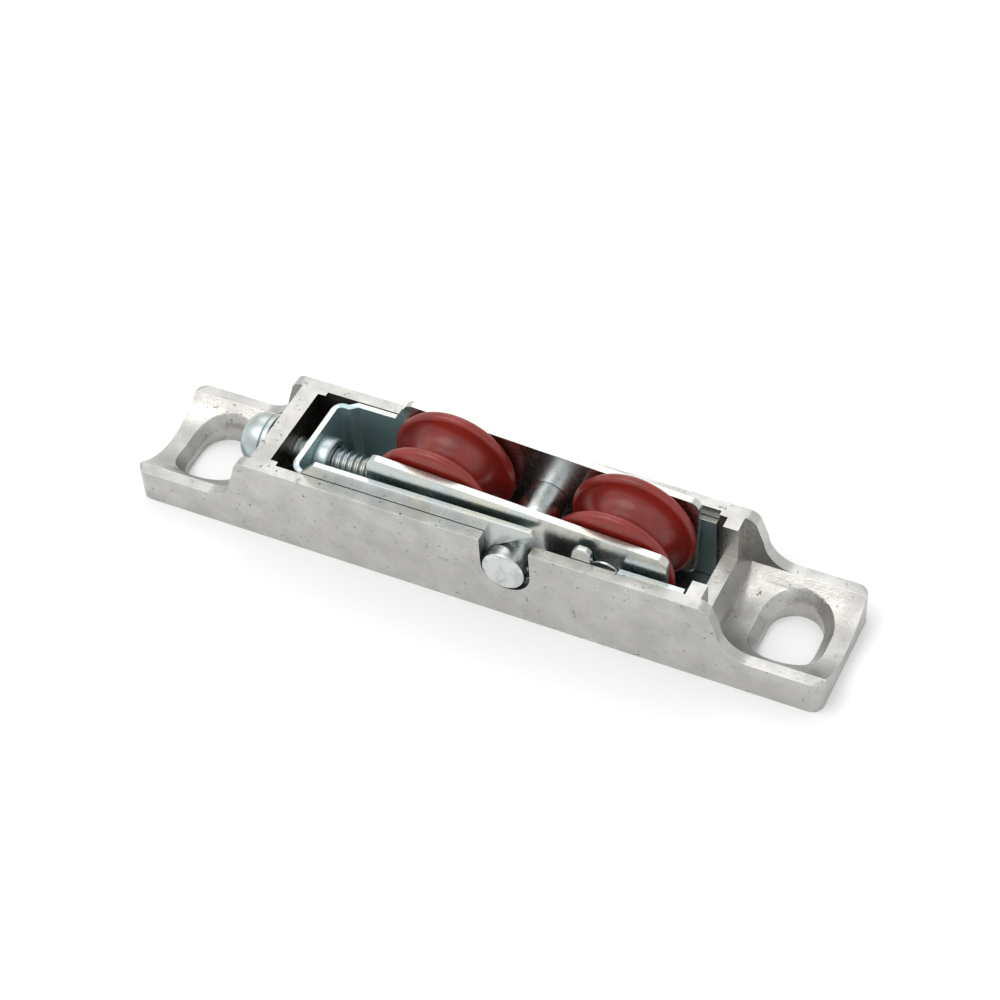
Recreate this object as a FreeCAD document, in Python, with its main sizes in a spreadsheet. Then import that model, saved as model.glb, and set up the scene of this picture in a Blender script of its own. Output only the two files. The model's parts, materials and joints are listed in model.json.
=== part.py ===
"""Tandem sliding-door roller: die-cast housing, wedge slider, lifting pin and rocking two-wheel bogie.

Frame: X runs along the housing, Y across it, and Z up from the mounting face, in millimetres. The origin is
on the mounting face, at the middle of the housing. The roller is at rest with the bogie fully retracted and
rocked over on its pin, as it lies on a bench.
"""
import FreeCAD, Part
import math
import os

import Sketcher
from FreeCAD import Placement, Rotation, Vector

doc = FreeCAD.newDocument("sliding_door_roller")

# ---------------------------------------------------------------- driving dimensions, mm and degrees
SIZES = {
    # housing block, ears and pocket
    "housing_length": 120.0,
    "housing_width": 22.0,
    "block_top": 15.75,
    "left_crown_x": 38.4,
    "left_shoulder_x": 40.4,
    "left_shoulder_z": 13.9,
    "left_foot_x": 41.4,
    "left_foot_z": 10.9,
    "left_sweep_x": 46.5,
    "right_crown_x": 39.7,
    "right_shoulder_x": 41.9,
    "right_shoulder_z": 13.9,
    "right_foot_x": 42.9,
    "right_foot_z": 11.2,
    "right_sweep_x": 48.2,
    "ear_rim_height": 6.3,
    "end_corner_radius": 2.0,
    "channel_floor": 2.9,
    "web_inner_half": 9.0,
    "left_wall_top": 38.1,
    "right_wall_top": 39.7,
    "left_wall_batter": 0.7,
    "right_wall_batter": 1.3,
    "left_wall_bend": 15.75,
    "right_wall_bend": 9.2,
    "pocket_left": 34.8,
    "pocket_right": 37.2,
    "pocket_half_width": 9.0,
    "pillar_half_gap": 8.1,
    "pillar_length": 1.4,
    "pocket_floor": 1.2,
    "end_notch_half_width": 6.0,
    "end_notch_floor": 9.2,
    "pin_notch_x": 7.75,
    "pin_notch_z": 10.5,
    "pin_notch_radius": 4.25,
    "ear_slot_x": 51.0,
    "ear_slot_radius": 4.5,
    "ear_slot_length": 12.8,
    "ear_slot_flare": 1.6,
    "screw_hole_radius": 2.7,
    "edge_break": 0.35,
    "overshoot": 2.0,
    # wedge slider
    "slider_left": 31.3,
    "slider_right": 36.8,
    "slider_sheet": 1.0,
    "slider_outer_half": 8.9,
    "slider_bottom": 1.3,
    "slider_top": 18.4,
    "slider_end_top": 15.6,
    "slider_step_x": 29.0,
    "slider_step_run": 2.6,
    "slider_bend_radius": 2.6,
    "far_bend_radius": 1.8,
    "joggle_half": 7.9,
    "joggle_start": 0.6,
    "joggle_run": 1.2,
    "rear_step_x": 20.5,
    "rear_step_run": 1.5,
    "slope_angle": 34.0,
    "slope_clearance": 0.07,
    "nose_x": 12.0,
    "nose_tip": 0.9,
    "stop_face_x": 17.5,
    "finger_top": 18.2,
    "finger_lean": 1.1,
    "finger_right": 21.5,
    "finger_chamfer": 0.7,
    "tail_left": 25.3,
    "dip_bottom": 13.0,
    "tail_top": 15.6,
    "rear_tail_left": 29.0,
    "rear_tail_right": 35.4,
    "rear_tail_top": 13.7,
    # adjusting screw, washer and clinch nut
    "screw_axis": 10.2,
    "thread_radius": 2.5,
    "thread_pitch": 1.1,
    "thread_depth": 0.4,
    "thread_start": 34.3,
    "screw_tip": 19.7,
    "head_radius": 4.7,
    "head_rim": 1.5,
    "head_height": 4.4,
    "washer_radius": 4.8,
    "washer_thickness": 1.0,
    "seat_gap": 0.05,
    "recess_width": 1.2,
    "recess_reach": 2.6,
    "recess_depth": 2.0,
    "nut_radius": 3.9,
    "nut_length": 2.6,
    "nut_spigot_radius": 3.2,
    "nut_bore_radius": 2.55,
    # pivot pin and bogie plates
    "pin_x": 7.4,
    "pin_z": 10.2,
    "pin_radius": 3.65,
    "pin_half_length": 11.3,
    "pin_chamfer": 0.5,
    "running_gap": 0.04,
    "rest_rock": 3.3,
    "plate_inner_half": 5.8,
    "plate_sheet": 1.3,
    "plate_half_length": 25.5,
    "plate_top": 10.35,
    "plate_bottom": 5.95,
    "plate_corner": 1.6,
    "wheel_offset": 15.5,
    "axle_rise": 2.65,
    # axles and spacers
    "axle_radius": 2.48,
    "axle_end_radius": 2.0,
    "rivet_head_radius": 3.0,
    "rivet_head_height": 0.35,
    "spacer_radius": 3.3,
    # wheel tyre and its ball bearing
    "wheel_radius": 10.5,
    "tyre_half_width": 5.2,
    "groove_root": 6.8,
    "flange_width": 1.9,
    "hub_recess_radius": 6.6,
    "hub_lip": 0.6,
    "hub_lip_radius": 5.0,
    "bearing_radius": 5.5,
    "bearing_bore": 2.5,
    "bearing_half_width": 2.5,
    "inner_ring_radius": 3.5,
    "outer_ring_radius": 4.5,
    "ball_radius": 0.8,
    "ball_circle": 4.0,
    "ball_count": 9.0,
    "race_gap": 0.02,
    "cage_half_radial": 0.25,
    "cage_half_width": 1.3,
    "pocket_gap": 0.06,
    "shield_thickness": 0.25,
    "shield_inset": 0.15,
    "shield_bore": 3.6,
}

sheet = doc.addObject("Spreadsheet::Sheet", "Dimensions")
for row, (alias, number) in enumerate(SIZES.items(), start=1):
    sheet.set(f"A{row}", alias)
    sheet.set(f"B{row}", str(number))
    sheet.setAlias(f"B{row}", alias)
doc.recompute()


class Size:
    """A length or angle that knows both its value and the expression that ties it to the sheet."""

    def __init__(self, value, text):
        self.value = float(value)
        self.text = text

    @staticmethod
    def of(other):
        return other if isinstance(other, Size) else Size(other, repr(float(other)))

    def _join(self, other, value, sign):
        return Size(value, f"({self.text} {sign} {other.text})")

    def __add__(self, other):
        other = Size.of(other)
        return self._join(other, self.value + other.value, "+")

    def __radd__(self, other):
        return Size.of(other) + self

    def __sub__(self, other):
        other = Size.of(other)
        return self._join(other, self.value - other.value, "-")

    def __rsub__(self, other):
        return Size.of(other) - self

    def __mul__(self, other):
        other = Size.of(other)
        return self._join(other, self.value * other.value, "*")

    def __rmul__(self, other):
        return Size.of(other) * self

    def __truediv__(self, other):
        other = Size.of(other)
        return self._join(other, self.value / other.value, "/")

    def __neg__(self):
        return Size(-self.value, f"(-1 * {self.text})")


def dim(alias):
    """The sheet's cell with this alias."""
    return Size(SIZES[alias], f"Dimensions.{alias}")


def sine(angle):
    return Size(math.sin(math.radians(angle.value)), f"sin({angle.text} * 1 deg)")


def cosine(angle):
    return Size(math.cos(math.radians(angle.value)), f"cos({angle.text} * 1 deg)")


def tangent(angle):
    return Size(math.tan(math.radians(angle.value)), f"tan({angle.text} * 1 deg)")


def root(square):
    return Size(math.sqrt(square.value), f"sqrt({square.text})")


def arc_radius(run, rise):
    """Radius of the arc that leaves a straight line without a corner, and then covers this run and rise."""
    return (run * run + rise * rise) / (rise * 2)


ZERO = Size(0.0, "0")


# ---------------------------------------------------------------- document helpers
def bind(item, **properties):
    """Tie the item's properties to sizes, so that a cell changes them."""
    for name, size in properties.items():
        item.setExpression(name, Size.of(size).text)


def new_body(label):
    body = doc.addObject("PartDesign::Body", label)
    body.Label = label
    return body


def new_sketch(body, role, name, offset=ZERO):
    """An empty sketch parallel to the body's own XY_Plane, XZ_Plane or YZ_Plane, offset along its normal.

    The normals are +Z, -Y and +X.
    """
    sketch = body.newObject("Sketcher::SketchObject", name)
    plane = next(item for item in body.Origin.OriginFeatures if item.Role == role)
    sketch.AttachmentSupport = [(plane, "")]
    sketch.MapMode = "FlatFace"
    sketch.setExpression("AttachmentOffset.Base.z", Size.of(offset).text)
    return sketch


def place(item, x=ZERO, z=ZERO, angle=None):
    """Put a sub-part at (x, 0, z), turned about Y by the angle."""
    item.Placement = Placement(Vector(x.value, 0, z.value), Rotation(Vector(0, 1, 0), 0))
    item.setExpression("Placement.Base.x", x.text)
    item.setExpression("Placement.Base.z", z.text)
    if angle is not None:
        item.Placement.Rotation = Rotation(Vector(0, 1, 0), angle.value)
        item.setExpression("Placement.Rotation.Angle", angle.text)


def fix_point(sketch, geometry, end, x, y):
    """Hold one end of a line or arc at a place given by two sizes."""
    for kind, size in (("DistanceX", x), ("DistanceY", y)):
        index = sketch.addConstraint(Sketcher.Constraint(kind, -1, 1, geometry, end, size.value))
        sketch.setExpression(f"Constraints[{index}]", size.text)


def draw_loop(sketch, corners):
    """Draw a closed outline. Each corner is (x, y), or (x, y, radius, turn) where an arc leads to the next.

    The arc's turn is +1 when it bulges to the right of the way from this corner to the next, and -1 to the left.
    """
    sized = [[Size.of(item) for item in corner[:3]] + list(corner[3:]) for corner in corners]
    for index, corner in enumerate(sized):
        after = sized[(index + 1) % len(sized)]
        start = Vector(corner[0].value, corner[1].value, 0)
        end = Vector(after[0].value, after[1].value, 0)
        if len(corner) == 2:
            geometry = sketch.addGeometry(Part.LineSegment(start, end), False)
            fix_point(sketch, geometry, 1, corner[0], corner[1])
            fix_point(sketch, geometry, 2, after[0], after[1])
            continue
        radius, turn = corner[2], corner[3]
        chord = end - start
        half = chord.Length / 2
        rise = math.sqrt(max(radius.value**2 - half**2, 0.0))
        side = Vector(chord.y, -chord.x, 0).normalize() * turn
        centre = start + chord / 2 - side * rise
        ends = (start, end) if turn > 0 else (end, start)
        angles = [math.atan2(point.y - centre.y, point.x - centre.x) for point in ends]
        circle = Part.Circle(centre, Vector(0, 0, 1), radius.value)
        geometry = sketch.addGeometry(Part.ArcOfCircle(circle, *angles), False)
        first = 1 if turn > 0 else 2
        fix_point(sketch, geometry, first, corner[0], corner[1])
        fix_point(sketch, geometry, 3 - first, after[0], after[1])
        if half < radius.value - 1e-6:
            constraint = sketch.addConstraint(Sketcher.Constraint("Radius", geometry, radius.value))
            sketch.setExpression(f"Constraints[{constraint}]", radius.text)


def draw_circle(sketch, x, y, radius):
    x, y, radius = Size.of(x), Size.of(y), Size.of(radius)
    circle = Part.Circle(Vector(x.value, y.value, 0), Vector(0, 0, 1), radius.value)
    geometry = sketch.addGeometry(circle, False)
    fix_point(sketch, geometry, 3, x, y)
    constraint = sketch.addConstraint(Sketcher.Constraint("Radius", geometry, radius.value))
    sketch.setExpression(f"Constraints[{constraint}]", radius.text)


def add_feature(body, kind, sketch, name, **settings):
    feature = body.newObject(f"PartDesign::{kind}", name)
    feature.Profile = sketch
    for key, value in settings.items():
        setattr(feature, key, value)
    sketch.Visibility = False
    return feature


def pad(body, sketch, length, name, both_ways=False, backwards=False):
    feature = add_feature(body, "Pad", sketch, name)
    feature.SideType = "Symmetric" if both_ways else "One side"
    feature.Reversed = backwards
    bind(feature, Length=length)
    doc.recompute()
    return feature


def pocket(body, sketch, length, name, both_ways=False, backwards=False):
    """Cut the sketch out of the body, and make sure that it does remove material."""
    doc.recompute()
    before = body.Shape.Volume
    feature = add_feature(body, "Pocket", sketch, name)
    feature.SideType = "Symmetric" if both_ways else "One side"
    feature.Reversed = backwards
    bind(feature, Length=length)
    doc.recompute()
    if not body.Shape.Volume < before - 1e-3:
        raise RuntimeError(f"{body.Label}: {name} removes nothing")
    return feature


def revolve(body, sketch, axis_role, name):
    feature = add_feature(body, "Revolution", sketch, name)
    axis = next(item for item in body.Origin.OriginFeatures if item.Role == axis_role)
    feature.ReferenceAxis = (axis, [""])
    feature.Angle = 360.0
    doc.recompute()
    return feature


def dress(body, kind, name, edges, base, **sizes):
    """A fillet or chamfer on the named edges of the body's last feature."""
    if not edges:
        raise RuntimeError(f"{body.Label}: {name} finds no edges")
    feature = body.newObject(f"PartDesign::{kind}", name)
    feature.Base = (base, edges)
    bind(feature, **sizes)
    doc.recompute()
    return feature


def edges_where(shape, test):
    """Names of the edges whose middle point passes the test."""
    names = []
    for index, edge in enumerate(shape.Edges, start=1):
        middle = edge.valueAt((edge.FirstParameter + edge.LastParameter) / 2)
        if test(edge, middle):
            names.append(f"Edge{index}")
    return names


def near(value, target, tolerance=0.05):
    return abs(value - target) < tolerance


# ---------------------------------------------------------------- housing
def build_housing():
    """Die-cast body: side outline, channelled ears, pocket, notches and screw hole."""
    body = new_body("housing")
    half = dim("housing_length") / 2
    width = dim("housing_width")
    top = dim("block_top")
    rim = dim("ear_rim_height")
    over = dim("overshoot")

    outline = new_sketch(body, "XZ_Plane", "side_outline")
    corners = [(-half, ZERO), (half, ZERO), (half, rim)]
    for side, end in ((1, "right"), (-1, "left")):
        foot_x, foot_z = dim(f"{end}_foot_x"), dim(f"{end}_foot_z")
        shoulder_x, shoulder_z = dim(f"{end}_shoulder_x"), dim(f"{end}_shoulder_z")
        crown_x, sweep_x = dim(f"{end}_crown_x"), dim(f"{end}_sweep_x")
        sweep = arc_radius(sweep_x - foot_x, foot_z - rim)
        crown = arc_radius(shoulder_x - crown_x, top - shoulder_z)
        if side > 0:
            corners += [(sweep_x, rim, sweep, -1), (foot_x, foot_z)]
            corners += [(shoulder_x, shoulder_z, crown, 1), (crown_x, top)]
        else:
            corners += [(-crown_x, top, crown, 1), (-shoulder_x, shoulder_z)]
            corners += [(-foot_x, foot_z, sweep, -1), (-sweep_x, rim)]
    corners.append((-half, rim))
    draw_loop(outline, corners)
    block = pad(body, outline, width, "block", both_ways=True)

    upright = edges_where(
        block.Shape,
        lambda edge, middle: near(abs(middle.x), half.value) and near(abs(middle.y), width.value / 2),
    )
    dress(body, "Fillet", "plan_corners", upright, block, Radius=dim("end_corner_radius"))

    # each ear is hollowed between its two side webs, down to a round-bottomed channel
    web = dim("web_inner_half")
    channel = arc_radius(web, rim - dim("channel_floor"))
    for side, end in ((1, "right"), (-1, "left")):
        wall_top = dim(f"{end}_wall_top")
        wall_foot = wall_top + dim(f"{end}_wall_batter")
        recess = new_sketch(body, "XZ_Plane", f"{end}_recess_outline")
        lip = top + over
        draw_loop(
            recess,
            [
                (wall_foot * side, rim),
                ((half + over) * side, rim),
                ((half + over) * side, lip),
                (wall_top * side, lip),
                (wall_top * side, dim(f"{end}_wall_bend")),
            ],
        )
        pocket(body, recess, web * 2, f"{end}_recess", both_ways=True)
        section = new_sketch(body, "YZ_Plane", f"{end}_channel_outline", wall_foot * side)
        draw_loop(section, [(-web, rim, channel, 1), (web, rim), (web, rim + over), (-web, rim + over)])
        pocket(body, section, half + over - wall_foot, f"{end}_channel", backwards=side > 0)

    # slotted screw holes run across the ears, with a flared rim
    reach = dim("ear_slot_length") / 2 - dim("ear_slot_radius")
    radius = dim("ear_slot_radius")
    for side, end in ((1, "right"), (-1, "left")):
        centre = dim("ear_slot_x") * side
        slot = new_sketch(body, "XY_Plane", f"{end}_slot_outline")
        draw_loop(
            slot,
            [
                (centre + radius, -reach),
                (centre + radius, reach, radius, 1),
                (centre - radius, reach),
                (centre - radius, -reach, radius, 1),
            ],
        )
        pocket(body, slot, rim * 4, f"{end}_slot", both_ways=True)

    last = body.Tip
    flared = edges_where(
        last.Shape,
        lambda edge, middle: middle.z > 1
        and abs(abs(middle.x) - dim("ear_slot_x").value) < radius.value + 0.1
        and abs(middle.y) < dim("ear_slot_length").value / 2 + 0.1
        and middle.z < rim.value - 0.1,
    )
    dress(body, "Chamfer", "slot_flares", flared, last, Size=dim("ear_slot_flare"))

    # open pocket with a small pillar in every corner but the one the front arm's tail reaches into
    cavity = new_sketch(body, "XY_Plane", "pocket_outline", dim("pocket_floor"))
    left, right = -dim("pocket_left"), dim("pocket_right")
    wide, narrow, step = dim("pocket_half_width"), dim("pillar_half_gap"), dim("pillar_length")
    lower = [(left, -narrow), (left + step, -narrow), (left + step, -wide), (right, -wide)]
    upper = [(right, narrow), (right - step, narrow), (right - step, wide)]
    upper += [(left + step, wide), (left + step, narrow), (left, narrow)]
    draw_loop(cavity, lower + upper)
    pocket(body, cavity, top, "pocket", backwards=True)

    notch = new_sketch(body, "YZ_Plane", "end_notch_outline", right - over)
    opening, sill = dim("end_notch_half_width"), dim("end_notch_floor")
    draw_loop(notch, [(-opening, sill), (opening, sill), (opening, top + over), (-opening, top + over)])
    pocket(body, notch, over * 4, "end_notch", backwards=True)

    guide = new_sketch(body, "XZ_Plane", "pin_notch_outline")
    x, z, r = dim("pin_notch_x"), dim("pin_notch_z"), dim("pin_notch_radius")
    draw_loop(guide, [(x - r, z, r, 1), (x + r, z), (x + r, top + over), (x - r, top + over)])
    pocket(body, guide, width + over, "pin_notches", both_ways=True)

    bore = new_sketch(body, "YZ_Plane", "screw_hole_outline", -dim("left_foot_x") - over)
    draw_circle(bore, ZERO, dim("screw_axis"), dim("screw_hole_radius"))
    pocket(body, bore, over * 4 + 1, "screw_hole", backwards=True)
    return body


# ---------------------------------------------------------------- wedge slider
def build_slider():
    """Sheet bracket bent to a U in plan; both arms carry the sloping slot that lifts the pin."""
    body = new_body("wedge_slider")
    left, right = -dim("slider_left"), dim("slider_right")
    outer, thick = dim("slider_outer_half"), dim("slider_sheet")
    bend, far_bend, joggle = dim("slider_bend_radius"), dim("far_bend_radius"), dim("joggle_half")
    joggle_x = left + far_bend + dim("joggle_start")
    arm_x = joggle_x + dim("joggle_run")
    shift = thick / 2

    plan = new_sketch(body, "XY_Plane", "strip_plan", dim("slider_bottom"))
    draw_loop(
        plan,
        [
            (right, -outer),
            (right, thick - outer),
            (left + bend, thick - outer, bend - thick, -1),
            (left + thick, bend - outer),
            (left + thick, joggle - far_bend, far_bend - thick, -1),
            (left + far_bend, joggle - thick),
            (joggle_x + shift, joggle - thick),
            (arm_x + shift, outer - thick),
            (right, outer - thick),
            (right, outer),
            (arm_x, outer),
            (joggle_x, joggle),
            (left + far_bend, joggle, far_bend, 1),
            (left, joggle - far_bend),
            (left, bend - outer, bend, 1),
            (left + bend, -outer),
        ],
    )
    pad(body, plan, dim("slider_top") - dim("slider_bottom"), "strip")

    # everything above the arms' side profile is cut away, the sloping slot included
    profile = new_sketch(body, "XZ_Plane", "arm_profile")
    slope = dim("slope_angle")
    slot = dim("pin_radius") + dim("slope_clearance")
    pin_x, pin_z = dim("pin_x"), dim("pin_z")
    over_x, over_z = pin_x - slot * sine(slope), pin_z + slot * cosine(slope)
    under_x, under_z = pin_x + slot * sine(slope), pin_z - slot * cosine(slope)
    nose, tip, crest = dim("nose_x"), dim("nose_tip"), dim("slider_top")
    nose_z = over_z + (nose - over_x) * tangent(slope)
    stop = dim("stop_face_x")
    stop_z = under_z + (stop - under_x) * tangent(slope)
    finger, ease, right_of_finger = dim("finger_top"), dim("finger_chamfer"), dim("finger_right")
    dip, tail, tail_x = dim("dip_bottom"), dim("tail_top"), dim("tail_left")
    over = dim("overshoot")
    draw_loop(
        profile,
        [
            (left - over, finger + over),
            (left - over, dim("slider_end_top")),
            (-dim("slider_step_x"), dim("slider_end_top")),
            (dim("slider_step_run") - dim("slider_step_x"), crest),
            (nose - tip / 2, crest),
            (nose, crest - tip / 2),
            (nose, nose_z),
            (over_x, over_z, slot, 1),
            (under_x, under_z),
            (stop, stop_z),
            (stop + dim("finger_lean"), finger - ease),
            (stop + dim("finger_lean") + ease, finger),
            (right_of_finger - ease, finger),
            (right_of_finger, finger - ease),
            (right_of_finger, dip),
            (tail_x, dip),
            (tail_x, tail - ease),
            (tail_x + ease, tail),
            (right + over, tail),
            (right + over, finger + over),
        ],
    )
    pocket(body, profile, outer * 2 + over, "arm_profile_cut", both_ways=True)

    # the rear arm steps up further along, its finger is cut short and its tail is lower and shorter
    step = new_sketch(body, "XZ_Plane", "rear_step_outline")
    end_top, rise_x = dim("slider_end_top"), -dim("rear_step_x")
    high_x = rise_x + dim("rear_step_run")
    draw_loop(
        step,
        [
            (left - over, end_top),
            (rise_x, end_top),
            (high_x, crest),
            (high_x, finger + over),
            (left - over, finger + over),
        ],
    )
    pocket(body, step, outer + over, "rear_step_cut")
    stub = new_sketch(body, "XZ_Plane", "rear_finger_outline")
    draw_loop(stub, [(stop, tail), (tail_x, tail), (tail_x, finger + over), (stop, finger + over)])
    pocket(body, stub, outer + over, "rear_finger_cut")
    rear = new_sketch(body, "XZ_Plane", "rear_tail_outline")
    low, start, finish = dim("rear_tail_top"), dim("rear_tail_left"), dim("rear_tail_right")
    past = right + over
    draw_loop(
        rear, [(start, low), (finish, low), (finish, ZERO), (past, ZERO), (past, finger), (start, finger)]
    )
    pocket(body, rear, outer + over, "rear_tail_cut")

    hole = new_sketch(body, "YZ_Plane", "nut_hole_outline", left - over)
    draw_circle(hole, ZERO, dim("screw_axis"), dim("nut_spigot_radius"))
    pocket(body, hole, over * 2, "nut_hole", backwards=True)
    return body


def build_slider_nut():
    """Round clinch nut: a spigot fills the hole in the end wall and the barrel stands inside."""
    body = new_body("slider_nut")
    wall = -dim("slider_left")
    inside = wall + dim("slider_sheet")
    bore, spigot, barrel = dim("nut_bore_radius"), dim("nut_spigot_radius"), dim("nut_radius")
    end, ease = inside + dim("nut_length"), dim("edge_break")
    section = new_sketch(body, "XZ_Plane", "nut_section")
    draw_loop(
        section,
        [
            (wall, bore),
            (end, bore),
            (end, barrel - ease * 2),
            (end - ease, barrel - ease),
            (end - ease * 2, barrel - ease),
            (end - ease * 2, barrel),
            (inside + ease, barrel),
            (inside, barrel - ease),
            (inside, spigot),
            (wall, spigot),
        ],
    )
    revolve(body, section, "X_Axis", "nut")
    place(body, z=dim("screw_axis"))
    return body


# ---------------------------------------------------------------- adjusting screw and washer
def washer_face():
    """Where the washer bears on the left end wall, measured from the middle of the housing."""
    return dim("left_wall_top") + dim("left_wall_batter") + dim("seat_gap")


def build_screw():
    """Cross-recessed pan-head screw, with its thread as rings, and its head outside the left end wall."""
    body = new_body("adjusting_screw")
    seat = -washer_face() - dim("washer_thickness") - dim("seat_gap")
    crown = seat - dim("head_height")
    shoulder = seat - dim("head_rim")
    radius, head = dim("thread_radius"), dim("head_radius")
    root_radius = radius - dim("thread_depth")
    pitch, tip = dim("thread_pitch"), -dim("screw_tip")
    flat = head / 2
    dome = arc_radius(head - flat, shoulder - crown)

    section = new_sketch(body, "XZ_Plane", "screw_section")
    corners = [(crown, ZERO), (crown, flat, dome, -1), (shoulder, head), (seat, head), (seat, radius)]
    start = -dim("thread_start")
    turns = int((tip.value - start.value) / pitch.value) - 1
    for turn in range(turns):
        here = start + pitch * turn
        corners.append((here, radius))
        corners.append((here + pitch / 2, root_radius))
    last = start + pitch * turns
    corners += [(last, radius), (tip - pitch / 2, radius), (tip, root_radius), (tip, ZERO)]
    draw_loop(section, corners)
    revolve(body, section, "X_Axis", "turned_screw")

    recess = new_sketch(body, "YZ_Plane", "recess_outline", crown)
    arm, blade = dim("recess_reach"), dim("recess_width") / 2
    draw_loop(
        recess,
        [
            (arm, -blade),
            (arm, blade),
            (blade, blade),
            (blade, arm),
            (-blade, arm),
            (-blade, blade),
            (-arm, blade),
            (-arm, -blade),
            (-blade, -blade),
            (-blade, -arm),
            (blade, -arm),
            (blade, -blade),
        ],
    )
    pocket(body, recess, dim("recess_depth"), "cross_recess", backwards=True)
    place(body, z=dim("screw_axis"))
    return body


def build_washer():
    body = new_body("screw_washer")
    face = -washer_face()
    back = face - dim("washer_thickness")
    inner, outer, ease = dim("screw_hole_radius"), dim("washer_radius"), dim("edge_break") / 2
    section = new_sketch(body, "XZ_Plane", "washer_section")
    corners = [(face, inner), (face, outer - ease), (face - ease, outer)]
    corners += [(back + ease, outer), (back, outer - ease), (back, inner)]
    draw_loop(section, corners)
    revolve(body, section, "X_Axis", "washer")
    place(body, z=dim("screw_axis"))
    return body


# ---------------------------------------------------------------- pivot pin and bogie plates
def build_pin():
    body = new_body("pivot_pin")
    radius, half, ease = dim("pin_radius"), dim("pin_half_length"), dim("pin_chamfer")
    section = new_sketch(body, "XY_Plane", "pin_section")
    corners = [(ZERO, -half), (radius - ease, -half), (radius, ease - half)]
    corners += [(radius, half - ease), (radius - ease, half), (ZERO, half)]
    draw_loop(section, corners)
    revolve(body, section, "Y_Axis", "pin")
    place(body, dim("pin_x"), dim("pin_z"))
    return body


def build_plate(label, side):
    """One side plate, drawn about the pin and then rocked over. side is -1 for the front, +1 for the rear."""
    body = new_body(label)
    reach, top, bottom = dim("plate_half_length"), dim("plate_top"), -dim("plate_bottom")
    outline = new_sketch(body, "XZ_Plane", "plate_outline", dim("plate_inner_half") * -side)
    round_off = dim("plate_corner")
    draw_loop(
        outline,
        [
            (round_off - reach, bottom),
            (reach - round_off, bottom, round_off, 1),
            (reach, bottom + round_off),
            (reach, top - round_off, round_off, 1),
            (reach - round_off, top),
            (round_off - reach, top, round_off, 1),
            (-reach, top - round_off),
            (-reach, bottom + round_off, round_off, 1),
        ],
    )
    draw_circle(outline, ZERO, ZERO, dim("pin_radius") + dim("running_gap"))
    for end in (-1, 1):
        draw_circle(outline, dim("wheel_offset") * end, dim("axle_rise"), dim("axle_end_radius"))
    pad(body, outline, dim("plate_sheet"), "plate", backwards=side > 0)
    place(body, dim("pin_x"), dim("pin_z"), dim("rest_rock"))
    return body


# ---------------------------------------------------------------- wheels
def place_on_bogie(item, side):
    """Put an item, drawn about its own middle, at the left (-1) or right (+1) axle of the rocked bogie."""
    rock, rise = dim("rest_rock"), dim("axle_rise")
    along = dim("wheel_offset") * side
    x = dim("pin_x") + along * cosine(rock) + rise * sine(rock)
    z = dim("pin_z") - along * sine(rock) + rise * cosine(rock)
    place(item, x, z, rock)


def turned(label, corners, side):
    """A ring or shaft turned about its own Y axis, then put on an axle. Corners are (radius, place along Y)."""
    body = new_body(label)
    section = new_sketch(body, "XY_Plane", f"{label}_section")
    draw_loop(section, corners)
    revolve(body, section, "Y_Axis", "turned")
    place_on_bogie(body, side)
    return body


def build_tyre(label, side):
    """Moulded wheel with a round-bottomed groove between two round-edged flanges."""
    face, rim = dim("tyre_half_width"), dim("wheel_radius")
    round_edge = dim("flange_width") / 2
    hip = rim - round_edge
    groove_edge = face - dim("flange_width")
    groove = arc_radius(groove_edge, hip - dim("groove_root"))
    seat, seat_half = dim("bearing_radius"), dim("bearing_half_width")
    lip, lip_face = dim("hub_lip_radius"), dim("bearing_half_width") + dim("hub_lip")
    recess = dim("hub_recess_radius")
    corners = [
        (seat, -seat_half),
        (lip, -seat_half),
        (lip, -lip_face),
        (recess, -lip_face),
        (recess, -face),
        (hip, -face, round_edge, 1),
        (hip, -groove_edge, groove, -1),
        (hip, groove_edge, round_edge, 1),
        (hip, face),
        (recess, face),
        (recess, lip_face),
        (lip, lip_face),
        (lip, seat_half),
        (seat, seat_half),
    ]
    return turned(label, corners, side)


def build_ring(label, side, wall, shoulder):
    """A bearing ring between its plain wall and its shoulder, with a ball track in the shoulder."""
    half, track = dim("bearing_half_width"), dim("ball_radius") + dim("race_gap")
    outside = wall.value > shoulder.value
    depth = shoulder - dim("ball_circle") if outside else dim("ball_circle") - shoulder
    edge = root(track * track - depth * depth)
    corners = [(wall, -half), (wall, half), (shoulder, half), (shoulder, edge, track, -1 if outside else 1)]
    corners += [(shoulder, -edge), (shoulder, -half)]
    return turned(label, corners, side)


def ball_ring(label, radius):
    """Spheres spaced evenly on the ball circle, as one group."""
    count = int(SIZES["ball_count"])
    balls = []
    for index in range(count):
        ball = doc.addObject("Part::Sphere", f"{label}_{index + 1}")
        bind(ball, Radius=radius)
        turn = Size(360.0 * index / count, f"({index} * 360 / Dimensions.ball_count)")
        ball.setExpression("Placement.Base.x", (dim("ball_circle") * cosine(turn)).text)
        ball.setExpression("Placement.Base.z", (dim("ball_circle") * sine(turn)).text)
        balls.append(ball)
    group = doc.addObject("Part::Compound", label)
    group.Links = balls
    return group


def build_balls(label, side):
    group = ball_ring(label, dim("ball_radius"))
    group.Label = label
    place_on_bogie(group, side)
    return group


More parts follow.
